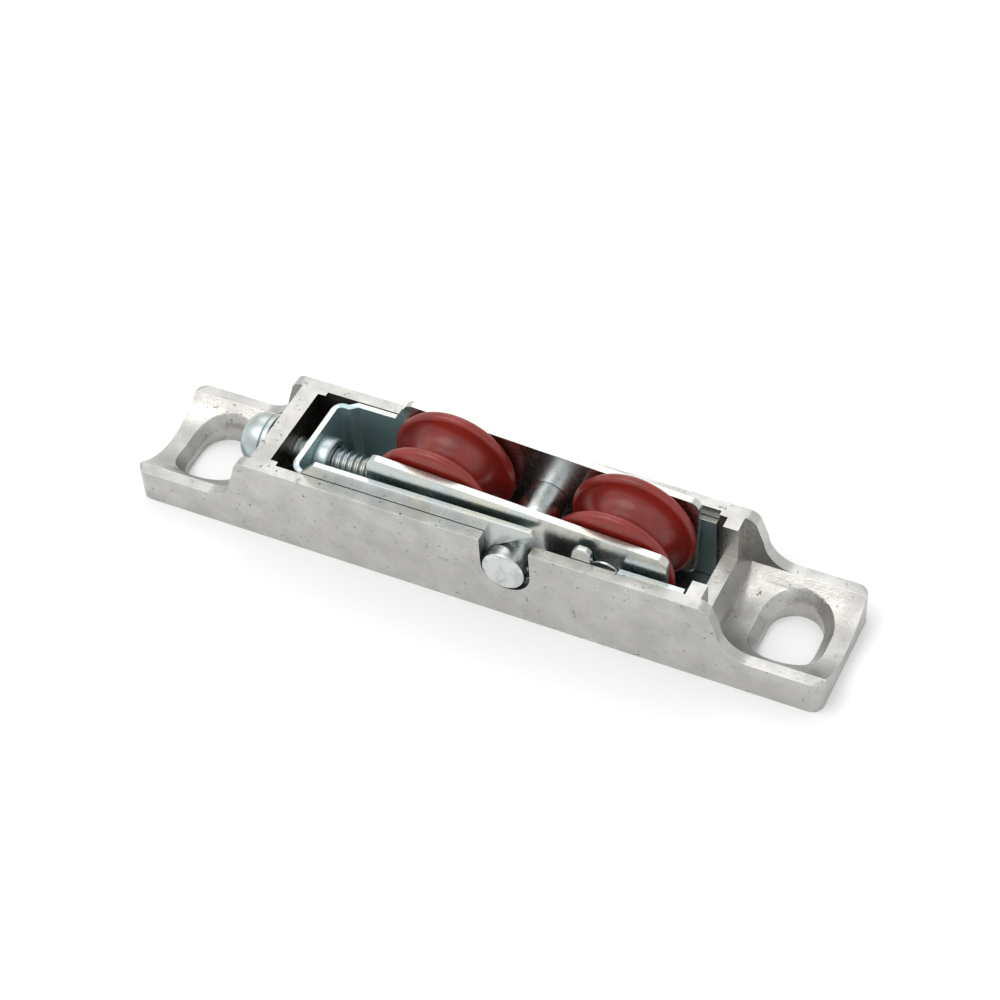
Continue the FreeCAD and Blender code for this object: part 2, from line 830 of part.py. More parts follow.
def build_cage(label, side):
    """Plain band with a round pocket for each ball."""
    reach = dim("cage_half_width")
    tubes = []
    for name, radius in (("band", dim("cage_half_radial")), ("core", -dim("cage_half_radial"))):
        tube = doc.addObject("Part::Cylinder", f"{label}_{name}")
        bind(tube, Radius=dim("ball_circle") + radius, Height=reach * 2)
        tube.Placement = Placement(Vector(0, reach.value, 0), Rotation(Vector(1, 0, 0), 90))
        tube.setExpression("Placement.Base.y", reach.text)
        tubes.append(tube)
    band = doc.addObject("Part::Cut", f"{label}_ring")
    band.Base, band.Tool = tubes
    cage = doc.addObject("Part::Cut", label)
    cage.Base = band
    cage.Tool = ball_ring(f"{label}_pocket", dim("ball_radius") + dim("pocket_gap"))
    cage.Label = label
    place_on_bogie(cage, side)
    return cage


def build_shields(label, side):
    """The bearing's two thin shields, one near each face."""
    outer, inner = dim("outer_ring_radius"), dim("shield_bore")
    far = dim("bearing_half_width") - dim("shield_inset")
    discs = []
    for face, direction in (("front", -1), ("rear", 1)):
        disc = doc.addObject("Part::Cylinder", f"{label}_{face}_disc")
        hole = doc.addObject("Part::Cylinder", f"{label}_{face}_hole")
        start = far if direction > 0 else dim("shield_thickness") - far
        for item, radius in ((disc, outer), (hole, inner)):
            bind(item, Radius=radius, Height=dim("shield_thickness"))
            item.Placement = Placement(Vector(0, start.value, 0), Rotation(Vector(1, 0, 0), 90))
            item.setExpression("Placement.Base.y", start.text)
        shield = doc.addObject("Part::Cut", f"{label}_{face}")
        shield.Base, shield.Tool = disc, hole
        discs.append(shield)
    group = doc.addObject("Part::Compound", label)
    group.Links = discs
    group.Label = label
    place_on_bogie(group, side)
    return group


def build_axle(label, side):
    """Shouldered rivet: its ends pass through the plates and are closed over outside them."""
    inner = dim("plate_inner_half")
    outer = inner + dim("plate_sheet")
    head, end, shaft = dim("rivet_head_radius"), dim("axle_end_radius"), dim("axle_radius")
    crown = outer + dim("rivet_head_height")
    ease = dim("rivet_head_height")
    near_half = [(head - ease, crown), (head, outer), (end, outer), (end, inner), (shaft, inner)]
    corners = [(ZERO, -crown)] + [(r, -y) for r, y in near_half]
    corners += list(reversed(near_half)) + [(ZERO, crown)]
    return turned(label, corners, side)


def build_spacer(label, side, face):
    """Tube between the bearing's inner ring and a plate. face is -1 for the front, +1 for the rear."""
    bore, outer = dim("bearing_bore"), dim("spacer_radius")
    start, end = dim("bearing_half_width") * face, dim("plate_inner_half") * face
    return turned(label, [(bore, start), (outer, start), (outer, end), (bore, end)], side)


# ---------------------------------------------------------------- the whole roller
def build_roller():
    parts = [build_housing(), build_slider(), build_slider_nut(), build_screw(), build_washer(), build_pin()]
    parts += [build_plate("bogie_plate_front", -1), build_plate("bogie_plate_rear", 1)]
    for side, end in ((-1, "left"), (1, "right")):
        parts.append(build_tyre(f"wheel_tyre_{end}", side))
        outer_wall, inner_wall = dim("bearing_radius"), dim("bearing_bore")
        parts.append(build_ring(f"bearing_outer_ring_{end}", side, outer_wall, dim("outer_ring_radius")))
        parts.append(build_ring(f"bearing_inner_ring_{end}", side, inner_wall, dim("inner_ring_radius")))
        parts.append(build_balls(f"bearing_balls_{end}", side))
        parts.append(build_cage(f"bearing_cage_{end}", side))
        parts.append(build_shields(f"bearing_shields_{end}", side))
        parts.append(build_axle(f"axle_{end}", side))
        for face, place_name in ((-1, "front"), (1, "rear")):
            parts.append(build_spacer(f"spacer_{end}_{place_name}", side, face))
    return parts


def check(parts):
    """Stop if anything in the document failed, or if a sub-part isn't a valid closed shape."""
    doc.recompute()
    for item in doc.Objects:
        if {"Invalid", "Error"} & set(item.State):
            raise RuntimeError(f"{item.Label} is {item.State}")
    for item in parts:
        shape = item.Shape
        if shape.isNull() or not shape.isValid() or not shape.Solids:
            raise RuntimeError(f"{item.Label} has no valid solid")


def export(parts):
    os.makedirs("parts", exist_ok=True)
    for item in parts:
        item.Shape.exportStep(f"parts/{item.Label}.step")
        box = item.Shape.BoundBox
        print(
            f"{item.Label}: {len(item.Shape.Solids)} solid(s), {item.Shape.Volume:.1f} mm3, "
            f"x {box.XMin:.2f} to {box.XMax:.2f}, y {box.YMin:.2f} to {box.YMax:.2f}, "
            f"z {box.ZMin:.2f} to {box.ZMax:.2f}"
        )


roller = build_roller()
check(roller)
export(roller)
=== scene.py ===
"""Tandem sliding-door roller, dressed for display on a pale studio floor.

The castings, pressings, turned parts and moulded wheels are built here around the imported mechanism,
and every piece rides on the body that moves it. Sizes are in millimetres unless a name says otherwise.
"""
import json
import logging
import math
from dataclasses import dataclass, field
from enum import Enum
from typing import Callable, Iterable, Optional

import bmesh
import bpy
from mathutils import Matrix, Vector


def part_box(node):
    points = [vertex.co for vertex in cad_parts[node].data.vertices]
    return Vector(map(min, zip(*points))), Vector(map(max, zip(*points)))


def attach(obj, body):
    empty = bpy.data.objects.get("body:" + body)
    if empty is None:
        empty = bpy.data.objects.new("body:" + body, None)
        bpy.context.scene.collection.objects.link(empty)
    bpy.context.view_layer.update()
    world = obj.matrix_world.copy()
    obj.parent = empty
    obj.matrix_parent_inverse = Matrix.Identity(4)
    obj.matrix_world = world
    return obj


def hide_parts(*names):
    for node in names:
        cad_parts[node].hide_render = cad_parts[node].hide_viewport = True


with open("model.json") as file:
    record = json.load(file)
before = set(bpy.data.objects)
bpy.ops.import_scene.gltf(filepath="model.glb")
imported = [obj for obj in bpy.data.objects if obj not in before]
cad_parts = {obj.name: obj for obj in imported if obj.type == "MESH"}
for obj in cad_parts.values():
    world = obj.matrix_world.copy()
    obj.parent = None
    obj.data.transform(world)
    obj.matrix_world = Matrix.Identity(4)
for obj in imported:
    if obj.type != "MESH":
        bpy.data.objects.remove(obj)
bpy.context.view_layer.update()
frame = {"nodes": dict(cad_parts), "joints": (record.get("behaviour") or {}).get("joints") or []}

MM = 0.001
LOG = logging.getLogger("roller")
# Face attribute for the painted highlight on rounded edges.
HIGHLIGHT_EDGE_LAYER = "painted_highlight_edge"
# Face attribute for painted light on inside faces: painted shade in the housing's pocket, a painted
# reflection inside the slider.
INSIDE_PAINT_LAYER = "inside_painted_light"

Colour = tuple[float, float, float, float]


class End(Enum):
    """The two wheels of the bogie, named by the end of the housing they are nearer to."""

    LEFT = "left"
    RIGHT = "right"


class Side(Enum):
    """The two sides of the bogie, with the sign of their Y."""

    FRONT = -1
    REAR = 1


# ---------------------------------------------------------------- small helpers
def linear(hex_colour: str) -> Colour:
    """Turn an sRGB hex colour into linear light.

    Args:
        hex_colour: six hex digits, with or without a leading hash.

    Returns:
        Linear red, green, blue and an alpha of 1.
    """
    digits = hex_colour.lstrip("#")
    channels = [int(digits[i : i + 2], 16) / 255 for i in (0, 2, 4)]
    red, green, blue = (c / 12.92 if c <= 0.04045 else ((c + 0.055) / 1.055) ** 2.4 for c in channels)
    return red, green, blue, 1.0


def add_node(
    tree: bpy.types.NodeTree,
    kind: str,
    settings: Optional[dict] = None,
    links: Optional[dict] = None,
) -> bpy.types.Node:
    """Add a shader node, set it up and link its inputs.

    Args:
        tree: the node tree to add to.
        kind: the node's type name.
        settings: values by input name or number, or by property name.
        links: output sockets by the input name or number they feed.

    Returns:
        The new node.
    """
    node = tree.nodes.new(kind)
    for key, value in (settings or {}).items():
        if isinstance(key, int) or key in node.inputs:
            node.inputs[key].default_value = value
        else:
            setattr(node, key, value)
    for key, source in (links or {}).items():
        tree.links.new(source, node.inputs[key])
    return node


def joint_centre(name: str) -> Vector:
    """The place, in metres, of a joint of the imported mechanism."""
    joint = next(item for item in frame["joints"] if item["name"] == name)
    return Vector(joint["pos_m"])


def make_piece(
    work: bmesh.types.BMesh,
    name: str,
    material: bpy.types.Material,
    smooth_angle: float = 35.0,
) -> bpy.types.Object:
    """Turn a finished bmesh into an object at the origin, shaded smooth except at its sharp edges.

    Args:
        work: the mesh in metres; it is freed.
        name: the piece's name.
        material: its finish.
        smooth_angle: degrees between faces above which an edge stays sharp.

    Returns:
        The new object, linked to the scene.
    """
    for face in work.faces:
        face.smooth = True
    for edge in work.edges:
        if edge.is_manifold:
            edge.smooth = edge.calc_face_angle() < math.radians(smooth_angle)
    mesh = bpy.data.meshes.new(name)
    work.to_mesh(mesh)
    work.free()
    mesh.materials.append(material)
    piece = bpy.data.objects.new(name, mesh)
    bpy.context.scene.collection.objects.link(piece)
    return piece


def settle(piece: bpy.types.Object, body: str, nodes: Iterable[str]) -> bpy.types.Object:
    """Hang a piece on its body, hide the nodes that it stands for and log it.

    Args:
        piece: the finished object.
        body: the CAD body it moves with.
        nodes: the CAD nodes that it replaces.

    Returns:
        The same object.
    """
    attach(piece, body)
    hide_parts(*nodes)
    LOG.info("%s: %d faces, rides on %s", piece.name, len(piece.data.polygons), body)
    return piece


def softened_copy(
    node: str,
    name: str,
    material: bpy.types.Material,
    radius: float,
    segments: int = 2,
    sharp_angle: float = 32.0,
) -> bpy.types.Object:
    """Copy a CAD node's shape and round its sharp edges.

    The rounded faces are marked in a face attribute, so that a finish can paint a highlight on them.

    Args:
        node: the CAD node.
        name: the new piece's name.
        material: its finish.
        radius: the edge rounding in millimetres.
        segments: faces across each rounding.
        sharp_angle: degrees between faces above which an edge is rounded.

    Returns:
        The new object.
    """
    work = bmesh.new()
    work.from_mesh(frame["nodes"][node].data)
    bmesh.ops.remove_doubles(work, verts=work.verts, dist=0.002 * MM)
    bmesh.ops.dissolve_limit(work, angle_limit=math.radians(0.6), verts=work.verts, edges=work.edges)
    sharp = [
        edge
        for edge in work.edges
        if edge.is_manifold and edge.calc_face_angle() > math.radians(sharp_angle)
    ]
    layer = work.faces.layers.float.new(HIGHLIGHT_EDGE_LAYER)
    rounded = bmesh.ops.bevel(
        work,
        geom=sharp,
        offset=radius * MM,
        offset_type="OFFSET",
        segments=segments,
        profile=0.5,
        affect="EDGES",
        material=-1,
        clamp_overlap=True,
    )
    for face in rounded["faces"]:
        face[layer] = 1.0
    bmesh.ops.triangulate(work, faces=[face for face in work.faces if len(face.verts) > 4])
    piece = make_piece(work, name, material)
    even = piece.modifiers.new("even shading", "WEIGHTED_NORMAL")
    even.keep_sharp = True
    apply_modifiers(piece)
    return piece


def mark_inside(piece: bpy.types.Object, share: Callable[[Vector], float]) -> None:
    """Write a face attribute that says which faces a finish should treat as inside, for painted shade in the
    housing's pocket and a painted reflection inside the slider.

    Args:
        piece: the finished object.
        share: gives 0 to 1 from a face's centre in metres.
    """
    mesh = piece.data
    layer = mesh.attributes.new(INSIDE_PAINT_LAYER, "FLOAT", "FACE")
    layer.data.foreach_set("value", [share(face.center) for face in mesh.polygons])


class Profile:
    """A half section drawn in (radius, along the axis) and turned on a lathe.

    The pen starts at one point, draws lines and arcs, and turn() sweeps the outline round the axis.
    """

    def __init__(self, radius: float, along: float) -> None:
        """Put the pen down.

        Args:
            radius: distance from the axis.
            along: place along the axis.
        """
        self.work = bmesh.new()
        self.first = self.work.verts.new((radius, along, 0.0))
        self.pen = self.first

    def line(self, radius: float, along: float) -> "Profile":
        """Draw a straight line to a point.

        Args:
            radius: distance from the axis.
            along: place along the axis.

        Returns:
            This profile.
        """
        corner = self.work.verts.new((radius, along, 0.0))
        self.work.edges.new((self.pen, corner))
        self.pen = corner
        return self

    def arc(self, centre: tuple[float, float], degrees: float, steps: int = 8) -> "Profile":
        """Sweep the pen round a centre.

        Args:
            centre: radius and place along the axis of the arc's centre.
            degrees: how far to go, positive from the radius towards the axis direction.
            steps: straight pieces in the arc.

        Returns:
            This profile.
        """
        swept = bmesh.ops.spin(
            self.work,
            geom=[self.pen],
            cent=(centre[0], centre[1], 0.0),
            axis=(0.0, 0.0, 1.0),
            angle=math.radians(degrees),
            steps=steps,
            use_merge=False,
        )
        self.pen = next(item for item in swept["geom_last"] if isinstance(item, bmesh.types.BMVert))
        return self

    def close(self) -> "Profile":
        """Join the pen back to the first point, for a ring that doesn't reach the axis."""
        self.work.edges.new((self.pen, self.first))
        return self

    def turn(self, steps: int = 96) -> bmesh.types.BMesh:
        """Sweep the outline a full turn about the axis.

        Args:
            steps: flats round the turn.

        Returns:
            A closed mesh about the Y axis, in millimetres.
        """
        bmesh.ops.spin(
            self.work,
            geom=list(self.work.verts) + list(self.work.edges),
            cent=(0.0, 0.0, 0.0),
            axis=(0.0, 1.0, 0.0),
            angle=math.tau,
            steps=steps,
            use_merge=True,
        )
        bmesh.ops.remove_doubles(self.work, verts=self.work.verts, dist=0.0005)
        bmesh.ops.recalc_face_normals(self.work, faces=self.work.faces)
        return self.work


def along_y(centre: Vector) -> Matrix:
    """The placing of a turned part whose axis runs along Y through a centre given in metres."""
    return Matrix.Translation(centre) @ Matrix.Scale(MM, 4)


def along_x(centre: Vector) -> Matrix:
    """The placing of a turned part whose axis runs along X, with its own +Y towards +X."""
    return Matrix.Translation(centre) @ Matrix.Rotation(-math.pi / 2, 4, "Z") @ Matrix.Scale(MM, 4)


def turned_piece(
    profile: Profile,
    place: Matrix,
    name: str,
    material: bpy.types.Material,
    steps: int = 96,
) -> bpy.types.Object:
    """Turn a profile and put it in place.

    Args:
        profile: the outline, in millimetres.
        place: along_y() or along_x() of its centre.
        name: the piece's name.
        material: its finish.
        steps: flats round the turn.

    Returns:
        The new object.
    """
    work = profile.turn(steps)
    bmesh.ops.transform(work, matrix=place, verts=work.verts)
    return make_piece(work, name, material)


# ---------------------------------------------------------------- finishes
@dataclass(frozen=True)
class Finish:
    """What every finish has: a name, a metallic value and a base roughness."""

    name: str
    metallic: float = 1.0
    roughness: float = 0.3

    def material(self) -> bpy.types.Material:
        """Build the material once, and hand the same one back after that.

        Returns:
            The finish's material.
        """
        known = bpy.data.materials.get(self.name)
        if known:
            return known
        material = bpy.data.materials.new(self.name)
        material.use_nodes = True
        tree = material.node_tree
        shader = tree.nodes["Principled BSDF"]
        shader.inputs["Metallic"].default_value = self.metallic
        shader.inputs["Roughness"].default_value = self.roughness
        self.shade(tree, shader)
        return material

    def shade(self, tree: bpy.types.NodeTree, shader: bpy.types.Node) -> None:
        """Add the finish's own pattern; each kind of finish has its own.

        Args:
            tree: the material's node tree.
            shader: its Principled BSDF.
        """
        raise NotImplementedError

    @staticmethod
    def place(
        tree: bpy.types.NodeTree, stretch: tuple[float, float, float] = (1.0, 1.0, 1.0)
    ) -> bpy.types.NodeSocket:
        """Object coordinates, stretched for a pattern that has a direction.

        Args:
            tree: the material's node tree.
            stretch: how much finer the pattern runs along X, Y and Z.

        Returns:
            The vector socket.
        """
        where = add_node(tree, "ShaderNodeTexCoord")
        mapping = add_node(
            tree, "ShaderNodeMapping", {"Scale": stretch}, {"Vector": where.outputs["Object"]}
        )
        return mapping.outputs["Vector"]

    @staticmethod
    def noise(
        tree: bpy.types.NodeTree,
        vector: bpy.types.NodeSocket,
        grain: float,
        detail: float = 3.0,
        low: float = 0.3,
        high: float = 0.7,
    ) -> bpy.types.NodeSocket:
        """A soft random pattern, stretched to run from 0 to 1.

        Args:
            tree: the material's node tree.
            vector: where it is read.
            grain: size of its blotches in millimetres.
            detail: how many finer layers it has.
            low: raw value that becomes 0.
            high: raw value that becomes 1.

        Returns:
            The value socket.
        """
        pattern = add_node(
            tree,
            "ShaderNodeTexNoise",
            {"Scale": 1.0 / (grain * MM), "Detail": detail, "Roughness": 0.6},
            {"Vector": vector},
        )
        spread = add_node(
            tree,
            "ShaderNodeMapRange",
            {"From Min": low, "From Max": high, "clamp": True},
            {"Value": pattern.outputs["Fac"]},
        )
        return spread.outputs["Result"]

    @staticmethod
    def mix(
        tree: bpy.types.NodeTree,
        amount: bpy.types.NodeSocket,
        first: bpy.types.NodeSocket | Colour,
        second: bpy.types.NodeSocket | Colour,
        strength: float = 1.0,
    ) -> bpy.types.NodeSocket:
        """Mix two colours by a pattern.

        Args:
            tree: the material's node tree.
            amount: 0 for the first colour, 1 for the second.
            first: a colour, or a socket that gives one.
            second: a colour, or a socket that gives one.
            strength: how much of the pattern is used.

        Returns:
            The colour socket.
        """
        scaled = add_node(
            tree, "ShaderNodeMath", {"operation": "MULTIPLY", 1: strength}, {0: amount}
        )
        node = add_node(tree, "ShaderNodeMix", {"data_type": "RGBA", "blend_type": "MIX"})
        tree.links.new(scaled.outputs["Value"], node.inputs["Factor"])
        for socket, colour in (("A_Color", first), ("B_Color", second)):
            target = next(item for item in node.inputs if item.identifier == socket)
            if isinstance(colour, tuple):
                target.default_value = colour
            else:
                tree.links.new(colour, target)
        return next(item for item in node.outputs if item.identifier == "Result_Color")

    @staticmethod
    def spread(
        tree: bpy.types.NodeTree, value: bpy.types.NodeSocket, low: float, high: float
    ) -> bpy.types.NodeSocket:
        """Run a 0 to 1 pattern between two numbers, as for a roughness.

        Args:
            tree: the material's node tree.
            value: the pattern.
            low: result at 0.
            high: result at 1.

        Returns:
            The value socket.
        """
        node = add_node(tree, "ShaderNodeMapRange", {"To Min": low, "To Max": high}, {"Value": value})
        return node.outputs["Result"]

    @staticmethod
    def bump(
        tree: bpy.types.NodeTree,
        height: bpy.types.NodeSocket,
        depth: float,
        strength: float,
        under: Optional[bpy.types.NodeSocket] = None,
    ) -> bpy.types.NodeSocket:
        """Raise the surface by a pattern.

        Args:
            tree: the material's node tree.
            height: the pattern, 0 to 1.
            depth: the height in millimetres of a full step.
            strength: how much of it shows.
            under: a coarser bump beneath this one.

        Returns:
            The normal socket.
        """
        links = {"Height": height}
        if under is not None:
            links["Normal"] = under
        node = add_node(tree, "ShaderNodeBump", {"Strength": strength, "Distance": depth * MM}, links)
        return node.outputs["Normal"]


@dataclass(frozen=True)
class CastZinc(Finish):
    """Zinc alloy as it leaves the die: satin skin, cloudy flow marks and small pits, with a painted
    highlight on rounded edges and painted shade in the pocket.
    """

    bright: str = "#C0BFBB"
    cloudy: str = "#B0AFAC"
    stain: str = "#5A5753"
    # Near-white painted highlight for the rounded edges.
    edge_highlight: str = "#F2F0EA"
    # Dark grey painted shade for the faces of the pocket.
    pocket_shade: str = "#77726D"

    def shade(self, tree: bpy.types.NodeTree, shader: bpy.types.Node) -> None:
        """Clouds of 5 mm, die-drag streaks along the length, pits under 1 mm and a 0.3 mm grain.

        Rounded edges get a painted highlight and the faces of the pocket get painted shade.

        Args:
            tree: the material's node tree.
            shader: its Principled BSDF.
        """
        plain = self.place(tree)
        streaked = self.place(tree, (0.12, 1.0, 1.0))
        clouds = self.noise(tree, plain, 5.0, 4.0, 0.38, 0.66)
        streaks = self.noise(tree, streaked, 0.35, 4.0, 0.42, 0.72)
        pits = self.noise(tree, plain, 0.9, 3.0, 0.64, 0.72)
        grain = self.noise(tree, plain, 0.3, 3.0)
        colour = self.mix(tree, clouds, linear(self.bright), linear(self.cloudy))
        colour = self.mix(tree, streaks, colour, linear(self.cloudy), strength=0.35)
        colour = self.mix(tree, pits, colour, linear(self.stain), strength=0.75)
        # Painted highlight: the rounded edges are mixed towards a near-white.
        edge = add_node(tree, "ShaderNodeAttribute", {"attribute_name": HIGHLIGHT_EDGE_LAYER})
        colour = self.mix(tree, edge.outputs["Fac"], colour, linear(self.edge_highlight), strength=0.9)
        # Painted shade: the faces of the pocket are mixed towards dark grey, most at the screw's end.
        inside = add_node(tree, "ShaderNodeAttribute", {"attribute_name": INSIDE_PAINT_LAYER})
        colour = self.mix(tree, inside.outputs["Fac"], colour, linear(self.pocket_shade))
        rough = self.spread(tree, clouds, self.roughness, self.roughness + 0.14)
        swell = self.bump(tree, clouds, 0.05, 0.5)
        drag = self.bump(tree, streaks, 0.012, 0.5, swell)
        sand = self.bump(tree, grain, 0.03, 0.6, drag)
        tree.links.new(colour, shader.inputs["Base Color"])
        tree.links.new(rough, shader.inputs["Roughness"])
        tree.links.new(self.bump(tree, pits, -0.08, 0.6, sand), shader.inputs["Normal"])


@dataclass(frozen=True)
class ZincPlate(Finish):
    """Bright zinc plating with a blue passivate over rolled steel sheet or a headed fastener."""

    cool: str = "#BEC5C7"
    warm: str = "#CFCDBF"
    dull: str = "#9AA3AA"
    # Pale teal of a painted reflection of the dark interior, on inside faces.
    shaded: str = "#B4CDD1"
    inside_rough: float = 0.25
    sheet_grain: float = 0.15
    stretch: tuple[float, float, float] = (0.08, 1.0, 1.0)

    def shade(self, tree: bpy.types.NodeTree, shader: bpy.types.Node) -> None:
        """Drifting blue and straw tints of 6 mm, rolling grain, and dull handling spots of 1.5 mm.

        Faces marked as inside get a bluer painted reflection of the dark interior, and are rougher.

        Args:
            tree: the material's node tree.
            shader: its Principled BSDF.
        """
        plain = self.place(tree)
        rolled = self.place(tree, self.stretch)
        tint = self.noise(tree, plain, 6.0, 2.0, 0.4, 0.65)
        grain = self.noise(tree, rolled, self.sheet_grain, 2.0)
        spots = self.noise(tree, plain, 1.5, 4.0, 0.55, 0.75)
        colour = self.mix(tree, tint, linear(self.cool), linear(self.warm), strength=0.7)
        colour = self.mix(tree, spots, colour, linear(self.dull), strength=0.25)
        # Painted reflection: the inside faces are mixed towards a pale teal.
        inside = add_node(tree, "ShaderNodeAttribute", {"attribute_name": INSIDE_PAINT_LAYER})
        colour = self.mix(tree, inside.outputs["Fac"], colour, linear(self.shaded))
        rough = self.spread(tree, spots, self.roughness, self.roughness + 0.1)
        softer = add_node(
            tree,
            "ShaderNodeMath",
            {"operation": "MULTIPLY_ADD", 1: self.inside_rough},
            {0: inside.outputs["Fac"], 2: rough},
        )
        tree.links.new(colour, shader.inputs["Base Color"])
        tree.links.new(softer.outputs["Value"], shader.inputs["Roughness"])
        tree.links.new(self.bump(tree, grain, 0.006, 0.4), shader.inputs["Normal"])


@dataclass(frozen=True)
class TurnedSteel(Finish):
    """Steel turned on a lathe and lightly plated, with the tool's rings round its axis."""

    pale: str = "#D3D6D6"
    dark: str = "#A9ADAF"
    centre: tuple[float, float, float] = (0.0, 0.0, 0.0)
    ring_spacing: float = 0.18

    def shade(self, tree: bpy.types.NodeTree, shader: bpy.types.Node) -> None:
        """Tool rings 0.18 mm apart, drawn about twice as coarse as real so that they show, and soft dulling.

        Args:
            tree: the material's node tree.
            shader: its Principled BSDF.
        """
        where = add_node(tree, "ShaderNodeTexCoord")
        moved = add_node(
            tree,
            "ShaderNodeVectorMath",
            {"operation": "SUBTRACT", 1: self.centre},
            {0: where.outputs["Object"]},
        )
        rings = add_node(
            tree,
            "ShaderNodeTexWave",
            {
                "wave_type": "RINGS",
                "rings_direction": "Y",
                "Scale": 0.314 / (self.ring_spacing * MM),
                "Distortion": 0.4,
                "Detail": 1.0,
            },
            {"Vector": moved.outputs["Vector"]},
        )
        dull = self.noise(tree, self.place(tree), 2.2, 4.0, 0.42, 0.68)
        colour = self.mix(tree, dull, linear(self.pale), linear(self.dark), strength=0.8)
        rough = self.spread(tree, dull, self.roughness, self.roughness + 0.15)
        tree.links.new(colour, shader.inputs["Base Color"])
        tree.links.new(rough, shader.inputs["Roughness"])
        tree.links.new(self.bump(tree, rings.outputs["Fac"], 0.004, 0.5), shader.inputs["Normal"])


@dataclass(frozen=True)
class BearingSteel(Finish):
    """Ground and polished bearing steel, with a thin uneven oil film."""

    steel: str = "#B9BBBC"
    film: str = "#8F8B80"

    def shade(self, tree: bpy.types.NodeTree, shader: bpy.types.Node) -> None:
        """Oil smears of 1.2 mm over the polish.

        Args:
            tree: the material's node tree.
            shader: its Principled BSDF.
        """
        smear = self.noise(tree, self.place(tree), 1.2, 3.0)
        colour = self.mix(tree, smear, linear(self.steel), linear(self.film), strength=0.6)
        tree.links.new(colour, shader.inputs["Base Color"])
        tree.links.new(
            self.spread(tree, smear, self.roughness, self.roughness + 0.12), shader.inputs["Roughness"]
        )


@dataclass(frozen=True)
class MouldedNylon(Finish):
    """Brick-red nylon, injection moulded: a glossy skin with slight sink and faint scuffs."""

    skin: str = "#87231B"
    deep: str = "#5E150F"
    scuff: str = "#A85A4C"

    def shade(self, tree: bpy.types.NodeTree, shader: bpy.types.Node) -> None:
        """Slow tone drift of 5 mm, a skin that ripples over 2 mm, and pale scuffs under 1 mm.

        Args:
            tree: the material's node tree.
            shader: its Principled BSDF.
        """
        plain = self.place(tree)
        drift = self.noise(tree, plain, 5.0, 3.0, 0.35, 0.7)
        ripple = self.noise(tree, plain, 2.0, 2.0)
        scuffs = self.noise(tree, plain, 0.8, 3.0, 0.7, 0.78)
        colour = self.mix(tree, drift, linear(self.skin), linear(self.deep), strength=0.7)
        colour = self.mix(tree, scuffs, colour, linear(self.scuff), strength=0.5)
        rough = self.spread(tree, drift, self.roughness, self.roughness + 0.1)
        shader.inputs["IOR"].default_value = 1.53
        shader.inputs["Subsurface Weight"].default_value = 0.08
        shader.inputs["Subsurface Radius"].default_value = (0.6 * MM, 0.1 * MM, 0.08 * MM)
        shader.inputs["Subsurface Scale"].default_value = 1.0
        tree.links.new(colour, shader.inputs["Base Color"])
        tree.links.new(rough, shader.inputs["Roughness"])
        tree.links.new(self.bump(tree, ripple, 0.03, 0.35), shader.inputs["Normal"])


@dataclass(frozen=True)
class StudioPaper(Finish):
    """White seamless paper, almost smooth, for the floor."""

    white: str = "#F7F7F8"
    shade_tone: str = "#F3F3F4"

    def shade(self, tree: bpy.types.NodeTree, shader: bpy.types.Node) -> None:
        """Barely visible 60 mm clouds.

        Args:
            tree: the material's node tree.
            shader: its Principled BSDF.
        """
        clouds = self.noise(tree, self.place(tree), 60.0, 1.0)
        colour = self.mix(tree, clouds, linear(self.white), linear(self.shade_tone))
        tree.links.new(colour, shader.inputs["Base Color"])


CAST_ZINC = CastZinc("die cast zinc, satin", roughness=0.27)
SLIDER_PLATE = ZincPlate("blue zinc plate on pressed sheet", roughness=0.24)
BOGIE_PLATE = ZincPlate("bright zinc plate on rolled strip", roughness=0.26, cool="#C4C9C9", dull="#A4A9AA")
FASTENER_PLATE = ZincPlate(
    "blue zinc plate on headed fasteners",
    roughness=0.33,
    cool="#B4C0C4",
    warm="#B9BDB4",
    dull="#7F8C93",
    sheet_grain=0.1,
    stretch=(1.0, 1.0, 1.0),
)
RACE_STEEL = BearingSteel("ground bearing steel", roughness=0.12)
CAGE_STEEL = BearingSteel("pressed cage strip", roughness=0.25, steel="#A7A59C")
RED_NYLON = MouldedNylon("moulded red nylon", metallic=0.0, roughness=0.26)
FLOOR_PAPER = StudioPaper("white seamless paper", metallic=0.0, roughness=0.8)


# ---------------------------------------------------------------- the housing and what the screw moves
@dataclass
class Housing:
    """Die-cast body with its two slotted ears."""

    edge_radius: float = 0.4
    pocket: tuple[float, float] = (-34.9, 37.3)
    pocket_half: float = 9.1
    pocket_bottom: float = 0.5
    pocket_top: float = 15.3
    dark_end: float = -25.0
    far_pocket_shade: float = 0.3

    def build(self) -> None:
        """Round the casting's edges, give it its satin skin and mark its pocket for painted shade."""
        piece = softened_copy("housing", "cast_housing", CAST_ZINC.material(), self.edge_radius)
        # Painted shade: the pocket's faces are marked to be darkened.
        mark_inside(piece, self.painted_pocket_shade)
        settle(piece, "housing", ["housing"])

    def painted_pocket_shade(self, centre: Vector) -> float:
        """How much painted shade a face of the pocket gets: 0 outside it, and most at the screw's end.

        Args:
            centre: the face's centre, in metres.

        Returns:
            A share from 0 to 1.
        """
        x, y, z = centre / MM
        left, right = self.pocket
        if abs(y) > self.pocket_half or not left < x < right:
            return 0.0
        if not self.pocket_bottom < z < self.pocket_top:
            return 0.0
        return 1.0 if x < self.dark_end else self.far_pocket_shade


